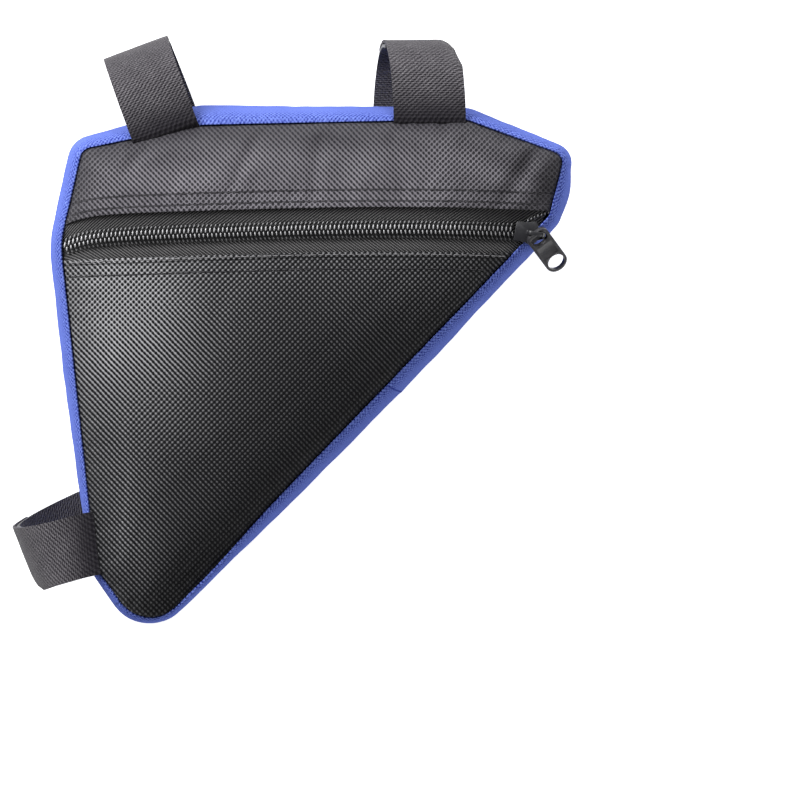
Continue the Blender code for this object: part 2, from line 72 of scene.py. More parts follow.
# %% [markdown]
# ## The light, the floor and the camera
#
# The photograph is a plain studio picture on white with hardly a shadow, so the wide floor glows
# like a light table. The main lamp stands low beyond the top left corner and rakes over the weave;
# two weaker ones fill from the top and the lower right. All three aim at the bag. The camera looks
# straight down from far away, which keeps the outline free of perspective.

# %% Camera
VIEW_CENTRE = Vector((0.04228, -0.02662, 0.042))
VIEW_WIDTH = 0.308
CAMERA_HEIGHT = 4.0

scene = bpy.context.scene
bpy.ops.object.camera_add(location=VIEW_CENTRE + Vector((0, 0, CAMERA_HEIGHT)), rotation=(0, 0, 0))
camera = bpy.context.object
camera.name = "camera"
camera.data.lens = camera.data.sensor_width * CAMERA_HEIGHT / VIEW_WIDTH
scene.camera = camera
scene.view_settings.view_transform = "Standard"

# %% Lamps and sky
Lamp = namedtuple("Lamp", "name place size power")
LAMPS = (
    Lamp("key", (-1.00, 0.90, 0.90), 0.9, 43.0),
    Lamp("top", (0.35, 1.20, 0.85), 0.7, 13.0),
    Lamp("fill", (0.90, -0.60, 1.10), 1.0, 7.0),
)
for lamp in LAMPS:
    bpy.ops.object.light_add(type="AREA", location=lamp.place)
    light = bpy.context.object
    light.name = lamp.name
    light.data.energy = lamp.power
    light.data.size = lamp.size
    light.rotation_euler = (-Vector(lamp.place)).to_track_quat("-Z", "Y").to_euler()

sky = bpy.data.worlds.new("studio")
scene.world = sky
sky.use_nodes = True
glow = sky.node_tree.nodes["Background"].inputs
glow["Color"].default_value = (1.0, 1.0, 1.0, 1)
glow["Strength"].default_value = 0.14

# %% Floor
bpy.ops.mesh.primitive_plane_add(size=6, location=(0, 0, -0.0002))
floor = bpy.context.object
floor.name = "floor"
floor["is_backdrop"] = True

# %% [markdown]
# ## Shader maths
#
# A weave is made of waves, which read badly as a wall of nodes. A small class wraps a socket, so
# that `a * b + 1` adds the Math nodes itself. Most other nodes come from one method.


# %% A number that varies over a surface
class Varying:
    def __init__(self, tree, socket):
        self.tree = tree
        self.socket = socket

    def math(self, operation, *others, flipped=False):
        node = self.tree.nodes.new("ShaderNodeMath")
        node.operation = operation
        operands = (*others, self) if flipped else (self, *others)
        for slot, value in zip(node.inputs, operands):
            if isinstance(value, Varying):
                self.tree.links.new(value.socket, slot)
            else:
                slot.default_value = value
        return Varying(self.tree, node.outputs[0])

    __add__ = __radd__ = partialmethod(math, "ADD")
    __sub__ = partialmethod(math, "SUBTRACT")
    __rsub__ = partialmethod(math, "SUBTRACT", flipped=True)
    __mul__ = partialmethod(math, "MULTIPLY")
    __pow__ = partialmethod(math, "POWER")

    def wave(self, length):
        """From -1 to 1, once in each length."""
        return (self * (2 * math.pi / length)).math("COSINE")

    def step(self, low, high):
        """From 0 at low to 1 at high, smoothly."""
        node = self.tree.nodes.new("ShaderNodeMapRange")
        node.interpolation_type = "SMOOTHSTEP"
        node.inputs["From Min"].default_value = low
        node.inputs["From Max"].default_value = high
        self.tree.links.new(self.socket, node.inputs["Value"])
        return Varying(self.tree, node.outputs[0])


# %% A material in the making
class Finish:
    def __init__(self, name, **constants):
        self.material = bpy.data.materials.new(name)
        self.material.use_nodes = True
        self.tree = self.material.node_tree
        self.shader = self.tree.nodes["Principled BSDF"]
        for socket, value in constants.items():
            self.shader.inputs[socket.replace("_", " ")].default_value = value

    def node(self, kind, output=0, **inputs):
        made = self.tree.nodes.new(kind)
        for name, value in inputs.items():
            slot = made.inputs[name.replace("_", " ")]
            if isinstance(value, Varying):
                self.tree.links.new(value.socket, slot)
            else:
                slot.default_value = value
        return Varying(self.tree, made.outputs[output])

    def place(self, output="Object"):
        """The surface's own coordinates as three numbers."""
        point = self.node("ShaderNodeTexCoord", output=output)
        split = self.tree.nodes.new("ShaderNodeSeparateXYZ")
        self.tree.links.new(point.socket, split.inputs[0])
        return [Varying(self.tree, socket) for socket in split.outputs]

    def grain(self, size, detail=2.0, output="Object", stretch=(1, 1, 1)):
        """Noise with features of about this size, from 0 to 1."""
        point = self.node("ShaderNodeTexCoord", output=output)
        scaled = self.node("ShaderNodeMapping", Vector=point, Scale=stretch)
        return self.node("ShaderNodeTexNoise", Vector=scaled, Scale=1 / size, Detail=detail)

    def colour(self, share, low, high):
        """The base colour, between two by share."""
        node = self.tree.nodes.new("ShaderNodeMix")
        node.data_type = "RGBA"
        self.tree.links.new(share.socket, node.inputs[0])
        node.inputs[6].default_value = (*low, 1)
        node.inputs[7].default_value = (*high, 1)
        self.tree.links.new(node.outputs[2], self.shader.inputs["Base Color"])

    def set(self, socket, value):
        self.tree.links.new(value.socket, self.shader.inputs[socket])

    def bump(self, height, depth, strength=1.0):
        normal = self.node("ShaderNodeBump", Height=height, Distance=depth, Strength=strength)
        self.set("Normal", normal)


# %% [markdown]
# ## Oxford cloth
#
# Oxford cloth is a coarse plain weave: each thread goes over one and under the next, so the threads
# on top form a staggered grid of small ovals. Two slanted waves added together are such a grid.
# A little noise shifts the threads and makes some brighter, and the same grid drives the bump. The
# pattern reads object coordinates, so it lies flat in the plane of the panel.


# %% Black oxford
THREAD_ACROSS, THREAD_UP = 0.00214, 0.0022
# painted light and painted shade on the front cloth, in spots: the middle of a spot, its reach each way,
# and how sharply it ends
Spot = namedtuple("Spot", "x y wide high sharp")
PAINTED_LIGHT_SPOTS = (
    Spot(-0.066, 0.010, 0.050, 0.070, 2.4),
    Spot(0.030, 0.032, 0.085, 0.022, 1.0),
    Spot(-0.064, -0.078, 0.018, 0.045, 2.0),
    Spot(0.098, 0.058, 0.014, 0.032, 1.5),
)


def threads(finish, x, y, across, up, output, lean=0.5):
    """A plain weave, 1 over the gaps and -1 over the threads; lean: the share of one diagonal."""
    drift = finish.grain(0.006, output=output) - 0.5
    sway = finish.grain(0.0072, output=output, stretch=(1, 1.3, 1)) - 0.5
    x = (x + drift * 0.0005) * (1 / across)
    y = (y + sway * 0.0005) * (1 / up)
    side = finish.grain(0.045, detail=0.0, output=output).step(0.35, 0.65) * 0.3 + (lean - 0.15)
    return (x + y).wave(1.0) * side + (x - y).wave(1.0) * (1 - side), x, y


def black_oxford(name, dark, light, lean, links, gloss, shine, thread, stitch_rows, painted_light, seam_shade):
    """links: how far each thread top splits in two, away from the first spot, which is a painted
    highlight, and in it.
    The tone list, painted light: the tone everywhere, and the painted light or painted shade that each
    spot adds to it."""
    finish = Finish(name, Specular_IOR_Level=shine)
    plan_x, plan_y, _ = finish.place()
    # The tone is painted light and painted shade: each spot adds its strength to the base tone, a painted
    # highlight where it is positive and painted shade where it is negative. The first spot also sets how
    # far the thread tops split.
    painted_tone, in_painted_highlight = painted_light[0], 0.0
    for spot, strength in zip(PAINTED_LIGHT_SPOTS, painted_light[1:]):
        reach_x = (plan_x - spot.x) * (1 / spot.wide)
        reach_y = (plan_y - spot.y) * (1 / spot.high)
        near = (reach_x * reach_x + reach_y * reach_y + 1.0) ** -spot.sharp
        painted_tone = near * strength + painted_tone
        in_painted_highlight = in_painted_highlight or near  # the first spot alone
    gaps, x, y = threads(finish, plan_x, plan_y, THREAD_ACROSS, THREAD_UP, "Object", lean)
    split = ((x * 2).wave(1.0) + (y * 2).wave(1.0) * 0.6) * (in_painted_highlight * (links[1] - links[0]) + links[0])
    fibre = finish.grain(0.0007, detail=3.0)
    patch = finish.grain(0.024, detail=2.0)
    top = 1 - (gaps + split + (fibre - 0.5) * 0.5).step(*thread)
    from_seam, from_lip, _ = finish.place("UV")
    # Painted shade along each stitch row: the cloth there is painted half as bright, as shade in the
    # groove that the bump presses in.
    groove = 1.0
    for row in stitch_rows:
        near = (from_lip - row).math("ABSOLUTE").step(0.0001, 0.0005)
        groove = near * groove
    lit = top * (0.55 + fibre * 0.45 + patch * 0.35) * (0.5 + groove * 0.5)
    # Painted shade beside the seam: within 16 mm of it the cloth is painted darker, by the given share at
    # the seam.
    painted_seam_shade = from_seam.step(0.0, 0.016) * seam_shade + (1 - seam_shade)
    # Painted shade in the crease at the seam: the last millimetre before it is painted near black.
    lit = lit * painted_tone * painted_seam_shade * (from_seam.step(0.0002, 0.0011) * 0.9 + 0.1)
    finish.colour(lit, dark, light)
    finish.set("Roughness", (gloss + 0.35) - top * 0.35)
    finish.bump(top + fibre * 0.35 + groove * 0.8, 0.0004, 0.9)
    return finish.material


# The lower panel's tone is mostly painted light: near black, with painted highlights in three spots.
black_lower = black_oxford(
    "black_oxford_lower",
    dark=(0.002, 0.002, 0.003), light=(0.56, 0.56, 0.58), lean=0.62, links=(-0.17, 0.22),
    gloss=0.46, shine=0.15, thread=(-1.2, 0.5), stitch_rows=(0.0021, 0.0066),
    painted_light=(0.015, 0.76, 0.3, 0.24), seam_shade=0.25,
)
# The upper panel's tone is even, with painted shade in one spot, a fold at its right end.
black_upper = black_oxford(
    "black_oxford_upper",
    dark=(0.016, 0.015, 0.019), light=(0.15, 0.142, 0.16), lean=0.6, links=(0.24, 0.24),
    gloss=0.5, shine=0.25, thread=(-0.55, 0.52), stitch_rows=(0.0023, 0.0066),
    painted_light=(1.0, 0.0, 0.0, 0.0, -0.38), seam_shade=0.8,
)
black_back = black_oxford(
    "black_oxford_back",
    dark=(0.004, 0.004, 0.005), light=(0.2, 0.195, 0.205), lean=0.5, links=(-0.16, -0.16),
    gloss=0.5, shine=0.2, thread=(-1.2, 0.5), stitch_rows=(),
    painted_light=(0.6, 0.0, 0.0, 0.0), seam_shade=0.85,
)

# %% Blue oxford
WALL_MIDDLE, JOIN_BEND = 0.0207, 0.0022


def blue_oxford(name, dark, light, join):
    """The side wall's cloth: a finer weave, flecked beside the seams, with a painted highlight on the lip
    at each seam and a dark line at the join.
    """
    finish = Finish(name, Roughness=0.8, Specular_IOR_Level=0.0)
    along, up, _ = finish.place("UV")
    gaps, _, _ = threads(finish, along, up, 0.0015, 0.0015, "UV")
    fleck = finish.grain(0.00085, detail=2.0, output="UV")
    fibre = finish.grain(0.0005, detail=2.0, output="UV")
    patch = finish.grain(0.018, detail=1.0, output="UV")
    from_middle = (up - WALL_MIDDLE).math("ABSOLUTE")
    beside_seam = from_middle.step(0.011, 0.0185)
    # Painted highlight on the lip along each seam, rising and falling at the scallops' pitch.
    lip_highlight = from_middle.step(WALL_MIDDLE - 0.0017, WALL_MIDDLE - 0.001)
    lip_highlight = lip_highlight * (along.wave(0.003) * 0.3 + 0.7)
    marks = fleck.step(0.42, 0.58)
    fine = 1 - (gaps + (fibre - 0.5) * 0.5).step(-0.6, 0.9)
    lit = fine * (0.42 + beside_seam * 0.15) + patch * 0.16 + 0.38
    lit = lit - (1 - marks) * (1 - lip_highlight) * beside_seam * 0.36 + lip_highlight * 0.45
    bend = (up * (math.pi / 2 / WALL_MIDDLE)).math("SINE") * JOIN_BEND
    at_join = 1 - (along - bend - join).math("ABSOLUTE").step(0.0001, 0.0006)
    lit = lit * (1 - at_join * 0.6)
    finish.colour(lit.math("MAXIMUM", 0.0), dark, light)
    finish.bump(fine * 0.8 + marks * (beside_seam * 0.6), 0.00016, 0.9)
    return finish.material


# %% [markdown]
# ## Tapes, thread, plastic and metal
#
# The zip tape is a twill, whose slanted ribs lean one way on each side of the chain, so they read
# the UV map: metres along the zip and away from it. The straps are hook-and-loop tape, with short
# slanted marks on the soft side and rows of tiny hooks on the other.


# %% Zip tape and thread
def twill_tape(name):
    finish = Finish(name, Roughness=0.7, Specular_IOR_Level=0.3, Sheen_Weight=0.1)
    along, away, _ = finish.place("UV")
    rib = (along * 0.6 - away.math("ABSOLUTE") * 0.8).wave(0.00092)
    thread = (along * 0.8 + away.math("ABSOLUTE") * 0.62).wave(0.00065)
    fibre = finish.grain(0.0007, detail=3.0)
    # Painted shade under the coil: within 2.6 mm of the zip's middle the tape is painted near black.
    beside_coil = away.math("ABSOLUTE").step(0.0026, 0.004)
    raised = (rib + thread * 0.22 + (fibre - 0.5) * 0.5).step(-0.2, 1.0) * beside_coil
    finish.colour(raised, (0.003, 0.003, 0.004), (0.105, 0.102, 0.104))
    finish.bump(rib + thread * 0.3, 0.00018, 0.9)
    return finish.material


def plain(name, colour, rough, speckle=0.2, size=0.0006, depth=0.00003, **constants):
    """One colour with a fine grain in its tone, its gloss and its surface."""
    finish = Finish(name, **constants)
    grain = finish.grain(size, detail=4.0)
    low = tuple(c * (1 - speckle) for c in colour)
    high = tuple(c * (1 + speckle) for c in colour)
    finish.colour(grain, low, high)
    finish.set("Roughness", rough + (grain - 0.5) * 0.25)
    finish.bump(grain, depth)
    return finish.material


def painted_highlight_coil(name):
    """Black nylon with painted highlights, pale on the crowns of its turns and less so on their arms."""
    finish = Finish(name, Specular_IOR_Level=0.8)
    across, level, _ = finish.place("UV")
    grain = finish.grain(0.0009, detail=3.0)
    along_zip, _, _ = finish.place()
    arm = across.step(0.0023, 0.0028) * level.step(0.0008, 0.0015)
    crown = level.step(0.00195, 0.00245) + arm * 0.45
    # The painted highlights are about a third dimmer towards the slider end: painted shade.
    shine = crown * (0.55 + grain * 0.9) * (1 - along_zip.step(0.06, 0.088) * 0.35)
    shine = shine.math("MINIMUM", 1.0)
    finish.colour(shine, (0.01, 0.01, 0.011), (0.38, 0.38, 0.39))
    finish.set("Roughness", 0.42 - crown * 0.15)
    finish.bump(grain, 0.00003)
    return finish.material


tape_cloth = twill_tape("zip_tape")
coil_nylon = painted_highlight_coil("zip_coil")
seam_thread = plain("seam_thread", (0.02, 0.019, 0.023), 0.7, size=0.0003)
edge_thread = plain("edge_thread", (0.16, 0.157, 0.164), 0.6, size=0.0003)
slider_paint = plain("slider_metal", (0.014, 0.014, 0.017), 0.38, Metallic=0.15, Coat_Weight=0.1)
pull_paint = plain("pull_metal", (0.036, 0.035, 0.04), 0.38, Metallic=0.25, Coat_Weight=0.2)
glowing = {"Emission_Color": (1.0, 1.0, 1.0, 1.0), "Emission_Strength": 0.8}
floor_paper = plain("floor_paper", (0.86, 0.86, 0.86), 0.7, speckle=0.005, size=0.02, **glowing)
floor.data.materials.append(floor_paper)


# %% Strap tape, its soft side and its hook side
def soft_side(name):
    finish = Finish(name, Roughness=0.85, Specular_IOR_Level=0.1, Sheen_Weight=0.06)
    across, along, _ = finish.place("UV")
    bend = finish.grain(0.003, output="UV")
    row = along.wave(0.00088)
    dash = ((across + (bend - 0.5) * 0.0012) * (1 / 0.00205) - along * (1 / 0.0017)).wave(1.0)
    dash = dash * (1 - along.step(0.016, 0.03) * 0.6)
    nap = finish.grain(0.00055, detail=4.0, output="UV")
    patch = finish.grain(0.008, detail=2.0, output="UV")
    mark = (row * 0.35 + dash * 0.45 + (nap - 0.5) * 2.6).step(-0.9, 1.5) * (0.55 + patch * 0.8)
    # Painted shade where the strap is sewn: its marks are painted dark at the sewn end and reach full
    # brightness 14 mm along; from 20 to 34 mm along they are a fifth darker.
    mark = mark * (along.step(0.0015, 0.014) * 0.86 + 0.14) * (1 - along.step(0.02, 0.034) * 0.2)
    finish.colour(mark, (0.006, 0.005, 0.008), (0.195, 0.185, 0.2))
    finish.bump(row * 0.4 + dash * 0.5 + nap * 1.4, 0.00022, 0.9)
    return finish.material


def hook_side(name):
    finish = Finish(name, Roughness=0.5, Specular_IOR_Level=0.5)
    across, along, _ = finish.place("UV")
    nap = finish.grain(0.0006, output="UV")
    dots = across.wave(0.0017) * along.wave(0.0022)
    hook = (dots + (nap - 0.5) * 0.6).step(0.25, 0.8)
    finish.colour(hook, (0.006, 0.006, 0.01), (0.33, 0.315, 0.32))
    finish.bump(hook, 0.0003)
    return finish.material


soft_tape = soft_side("strap_tape_soft")
hook_tape = hook_side("strap_tape_hooks")

# %% [markdown]
# ## The seam that everything meets at
#
# The bag's plan has eight sides with rounded corners. Panels, side wall and straps all start from
# it, so it is worked out once, in even steps, each with its way out and the side wall's bulge
# there. The sizes are the CAD model's, in its own frame.

# %% Sizes from the CAD model
WIDTH, HEIGHT = 0.195, 0.1996
LEFT, LOW = -0.088815, -0.117864
CORNER_RADIUS = 0.0154
BACK_SEAM, FRONT_SEAM, DEPTH = 0.004, 0.042, 0.038
BACK_REACH = 0.02
DOME, DOME_REACH, SEAM_REACH = 0.0175, 0.03, 0.005
BULGE = 0.0077
WALL, GAP = 0.0015, 0.0003
TAPE_ABOVE, TAPE_BELOW, TAPE_TUCK, TAPE_DROP = 0.0086, 0.0087, 0.003, 0.0008

Corner = namedtuple("Corner", "name across up radius bulge belly")
CORNERS = (
    Corner("bottom", 0.169, 0.000, 0.90, 0.34, 0.22),
    Corner("right_low", 0.969, 0.811, 0.35, 0.56, 0.17),
    Corner("right_top", 1.000, 0.930, 0.30, 0.42, 0.00),
    Corner("top_right", 0.803, 1.000, 0.62, 0.60, 0.00),
    Corner("top_left", 0.277, 0.989, 0.75, 1.00, 0.00),
    Corner("left_top", 0.043, 0.942, 0.35, 0.62, 0.00),
    Corner("left_wide", 0.000, 0.760, 2.20, 0.57, 0.08),
    Corner("left_low", 0.070, 0.129, 0.80, 0.28, 0.00),
)
plan = [Vector((LEFT + c.across * WIDTH, LOW + c.up * HEIGHT)) for c in CORNERS]


# %% The rounded seam
def corner_arc(i, steps=12):
    """(point, way out) round one corner."""
    before, corner, after = plan[i - 1], plan[i], plan[(i + 1) % len(plan)]
    into, out = (corner - before).normalized(), (after - corner).normalized()
    turn = -into.angle_signed(out)
    radius = CORNERS[i].radius * CORNER_RADIUS
    start = corner - into * radius * math.tan(turn / 2)
    centre = start + Vector((-into.y, into.x)) * radius
    first = math.atan2(start.y - centre.y, start.x - centre.x)
    angles = [first + turn * step / steps for step in range(steps + 1)]
    ways = [Vector((math.cos(a), math.sin(a))) for a in angles]
    return [(centre + way * radius, way) for way in ways]


def rough_seam():
    """A row (point, way out, bulge) for each place, and where each corner starts, turns and ends."""
    rows, places = [], {}
    arcs = [corner_arc(i) for i in range(len(plan))]
    for i, corner in enumerate(CORNERS):
        begins, steps = len(rows), len(arcs[i])
        places[corner.name] = (begins, begins + steps // 2, begins + steps - 1)
        rows += [(*point, *way, corner.bulge) for point, way in arcs[i]]
        following = CORNERS[(i + 1) % len(plan)]
        end = arcs[(i + 1) % len(plan)][0][0]
        start, way = arcs[i][-1]
        for share in np.linspace(0, 1, 12)[1:-1]:
            bulge = corner.bulge + (following.bulge - corner.bulge) * share
            belly = corner.belly * math.sin(math.pi * share)
            rows.append((*start.lerp(end, share), *way, bulge + belly))
    return np.array(rows) * (1, 1, 1, 1, BULGE), places


def even(points, count, closed=False):
    """Evenly spaced shares of a line's length, for each of its points and for the new ones."""
    line = np.vstack([points, points[:1]]) if closed else np.asarray(points)
    lengths = np.r_[0, np.cumsum(np.linalg.norm(np.diff(line[:, :2], axis=0), axis=1))]
    wanted = np.linspace(0, lengths[-1], count, endpoint=not closed)
    return lengths, wanted


def as_table(*columns):
    """Columns put side by side, as one table."""
    return np.column_stack(columns)


def read_line(line, lengths, wanted):
    return as_table(*(np.interp(wanted, lengths, column) for column in line.T))


SEAM_STEPS = 840
table, corner_places = rough_seam()
lengths, wanted = even(table, SEAM_STEPS, closed=True)
seam = read_line(np.vstack([table, table[:1]]), lengths, wanted)
SEAM_LENGTH = lengths[-1]
# the panel reaches further out where the slanted side begins, and the side wall shows less there
slant_begins = lengths[corner_places["bottom"][2]] + 0.016
reach_out = 0.0016 * np.exp(-(((wanted - slant_begins) / 0.026) ** 2))
seam[:, :2] += seam[:, 2:4] * reach_out[:, None]
seam[:, 4] -= np.minimum(reach_out, seam[:, 4])
print("seam:", round(SEAM_LENGTH * 1000), "mm round")


def place_of(name, part=1):
    """Index in the even seam of a corner's start, middle or end (0, 1, 2)."""
    length = lengths[corner_places[name][part]]
    return int(round(length / SEAM_LENGTH * SEAM_STEPS)) % SEAM_STEPS


# %% [markdown]
# ## The shape of the front
#
# The front is a low dome that rises quickly from the seam and is flat where the zip's slider pulls
# it down. Its height is a formula of the distance to the seam, less a few broad dents, as in the
# CAD model. Fine creases come later, from a cloth simulation and from the stitches.

# %% Height of the front cloth
Fold = namedtuple("Fold", "across up turn along wide depth")
FOLDS = (
    Fold(0.930, 0.785, 0, 0.115, 0.085, 0.78),
    Fold(0.560, 0.940, -2, 0.160, 0.030, 0.30),
    Fold(0.250, 0.905, 14, 0.120, 0.030, 0.22),
    Fold(0.900, 0.890, -24, 0.130, 0.022, 0.24),
    Fold(0.270, 0.120, 45, 0.150, 0.026, 0.26),
    Fold(0.640, 0.560, 46, 0.220, 0.030, 0.14),
    # narrow folds that the CAD model leaves out
    Fold(0.510, 0.925, 80, 0.055, 0.012, 0.09),
    Fold(0.376, 0.935, 62, 0.055, 0.012, 0.07),
    Fold(0.662, 0.935, 102, 0.050, 0.013, 0.07),
    Fold(0.159, 0.930, 50, 0.060, 0.015, 0.09),
    Fold(0.920, 0.905, 58, 0.065, 0.018, 0.50),
    Fold(0.974, 0.878, 58, 0.060, 0.015, 0.48),
    Fold(0.731, 0.605, 47, 0.120, 0.012, 0.05),
    Fold(0.238, 0.105, 50, 0.090, 0.010, 0.26),
    Fold(0.205, 0.090, 56, 0.070, 0.009, 0.22),
    Fold(0.050, 0.530, 75, 0.060, 0.011, 0.07),
    Fold(0.330, 0.660, 70, 0.080, 0.020, 0.04),
)
# the zip sinks a little where its left end is caught in the seam
ZIP_DIP, ZIP_DIP_REACH, ZIP_RISE = 0.0048, 0.0075, 0.0002
ZIP_LINE = ((0.000, 0.7685), (0.35, 0.779), (0.67, 0.7855), (0.9, 0.779), (1.000, 0.776))
zip_curve = np.polyfit(
    [LEFT + x * WIDTH for x, _ in ZIP_LINE], [LOW + y * HEIGHT for _, y in ZIP_LINE], 3
)


def zip_at(x, offset=0.0):
    """The line at this distance above the zip's middle; its lower lip stays straight."""
    dip = ZIP_DIP * np.exp(-(np.maximum(x, LEFT) - LEFT) / ZIP_DIP_REACH)
    follows = np.clip((offset + 0.0075) / 0.0035, 0, 1)
    return np.polyval(zip_curve, x) + ZIP_RISE + offset - dip * follows


def seam_distance(xy):
    """Distance to the seam, and the index of the nearest step of it."""
    outline = seam[:, :2]
    away = np.full(len(xy), np.inf)
    nearest = np.zeros(len(xy), int)
    for first in range(0, len(outline), 60):
        gaps = np.linalg.norm(xy[:, None] - outline[None, first : first + 60], axis=2)
        nearest = np.where(gaps.min(axis=1) < away, gaps.argmin(axis=1) + first, nearest)
        away = np.minimum(away, gaps.min(axis=1))
    to_point = xy - outline[nearest]
    square = np.abs((to_point * seam[nearest, 2:4]).sum(axis=1))
    return np.minimum(away, square), nearest


def fold_share(xy):
    share = np.ones(len(xy))
    for fold in FOLDS:
        turn = math.radians(fold.turn)
        offset = xy - (LEFT + fold.across * WIDTH, LOW + fold.up * HEIGHT)
        length = offset @ (math.cos(turn), math.sin(turn)) / (fold.along * WIDTH)
        width = offset @ (-math.sin(turn), math.cos(turn)) / (fold.wide * WIDTH)
        share *= 1 - fold.depth * np.exp(-length**2 - width**2)
    return share


def front_height(xy):
    total = np.zeros(len(xy))
    for a, b in zip(plan, plan[1:] + plan[:1]):
        side = (b - a).normalized()
        away = np.maximum(1e-5, side.x * (xy[:, 1] - a.y) - side.y * (xy[:, 0] - a.x))
        total += away**-2
    spread = 1 - np.exp(-(total**-0.5) / DOME_REACH)
    lift = 1 - np.exp(-seam_distance(xy)[0] / SEAM_REACH)
    return FRONT_SEAM + DOME * np.sqrt(spread * lift) * fold_share(xy)


# %% [markdown]
# ## A panel of cloth between four curves
#
# A panel is a flat grid drawn out to its seams. Four curves bound it, and a Coons patch (the two
# blends between opposite curves, less the one between the corners) puts each point between them.
# The rows follow the edges, so creases beside a seam have points to lie on.


# %% Grid helpers
def deselect():
    bpy.ops.object.select_all(action="DESELECT")


def pick(piece):
    deselect()
    piece.select_set(True)
    bpy.context.view_layer.objects.active = piece


def get_points(piece):
    flat = np.empty(len(piece.data.vertices) * 3)
    piece.data.vertices.foreach_get("co", flat)
    return flat.reshape(-1, 3)


def get_faces(piece):
    return [tuple(face.vertices) for face in piece.data.polygons]


def set_points(piece, points):
    piece.data.vertices.foreach_set("co", np.ascontiguousarray(points, dtype=float).ravel())
    piece.data.update()


def unit_grid(name, columns, rows):
    deselect()
    bpy.ops.mesh.primitive_grid_add(x_subdivisions=columns, y_subdivisions=rows, size=1)
    piece = bpy.context.object
    piece.name = name
    piece.data.name = name
    return piece, get_points(piece)[:, :2] + 0.5


def along(curve, share):
    """Points of a curve at these shares of its length."""
    lengths, _ = even(curve, 2)
    return read_line(np.asarray(curve), lengths, share * lengths[-1])


def coons(uv, left, right, bottom, top):
    """Plan points of a grid stretched between four curves; all of them run right or up."""
    u, v = uv[:, :1], uv[:, 1:]
    across = (1 - v) * along(bottom, uv[:, 0]) + v * along(top, uv[:, 0])
    upward = (1 - u) * along(left, uv[:, 1]) + u * along(right, uv[:, 1])
    low = (1 - u) * bottom[0] + u * bottom[-1]
    high = (1 - u) * top[0] + u * top[-1]
    return across + upward - (1 - v) * low - v * high


def write_uv(piece, values):
    """A UV map in metres, from one pair of numbers for each vertex."""
    layer = piece.data.uv_layers.active or piece.data.uv_layers.new(name="UVMap")
    corners = np.empty(len(piece.data.loops), int)
    piece.data.loops.foreach_get("vertex_index", corners)
    layer.data.foreach_set("uv", np.ascontiguousarray(values[corners], dtype=float).ravel())


def apply(piece, kind, **settings):
    pick(piece)
    bpy.ops.object.modifier_add(type=kind)
    modifier = piece.modifiers[-1]
    for name, value in settings.items():
        setattr(modifier, name, value)
    bpy.ops.object.modifier_apply(modifier=modifier.name)


def shade(piece, material, degrees=55):
    pick(piece)
    bpy.ops.object.shade_smooth_by_angle(angle=math.radians(degrees))
    if not piece.data.materials:
        piece.data.materials.append(material)


# %% Curves of the seam beside the zip
sewn_line = seam[:, :2] - seam[:, 2:4] * GAP / 2


def seam_run(first, last):
    """The seam's points from one place to another, counter-clockwise."""
    return sewn_line[(first + np.arange((last - first) % SEAM_STEPS + 1)) % SEAM_STEPS]


def zip_crossings(offset):
    """Seam indexes just before the right and the left crossing, and the crossing points."""
    over = sewn_line[:, 1] - zip_at(sewn_line[:, 0], offset)
    found = []
    for i in range(SEAM_STEPS):
        j = (i + 1) % SEAM_STEPS
        if (over[i] > 0) != (over[j] > 0):
            step = sewn_line[j] - sewn_line[i]
            found.append((i, sewn_line[i] + step * over[i] / (over[i] - over[j])))
    return sorted(found, key=lambda item: -item[1][0])


def zip_run(offset, count=200):
    """The line at this distance above the zip's middle, from the left seam to the right one."""
    (_, right), (_, left) = zip_crossings(offset)
    x = np.linspace(left[0], right[0], count)
    return as_table(x, zip_at(x, offset))


def upper_sides(offset):
    (right_at, right), (left_at, left) = zip_crossings(offset)
    right_side = np.vstack([right, seam_run((right_at + 1) % SEAM_STEPS, place_of("right_top"))])
    left_side = np.vstack([seam_run(place_of("left_top"), left_at), left])[::-1]
    top = seam_run(place_of("right_top"), place_of("left_top"))[::-1]
    return left_side, right_side, zip_run(offset), top


def lower_sides(offset):
    (right_at, right), (left_at, left) = zip_crossings(offset)
    start, end = place_of("bottom", 0), place_of("bottom", 2)
    left_side = np.vstack([left, seam_run((left_at + 1) % SEAM_STEPS, start)])[::-1]
    right_side = np.vstack([seam_run(end, right_at), right])
    return left_side, right_side, seam_run(start, end), zip_run(offset)


# %% [markdown]
# ## Letting the cloth settle
#
# Cut cloth is a little too big for the curve it is sewn to, which makes the broad creases of a soft
# bag. Blender's cloth solver does the same: the panel is held at its seams, grows by a percent and
# is pushed out by a slight pressure. No point may move far, so the panel stays in place.


# %% Cloth simulation
CLOTH_STEPS, CLOTH_GROWTH, CLOTH_PRESSURE = 20, 0.012, 0.35


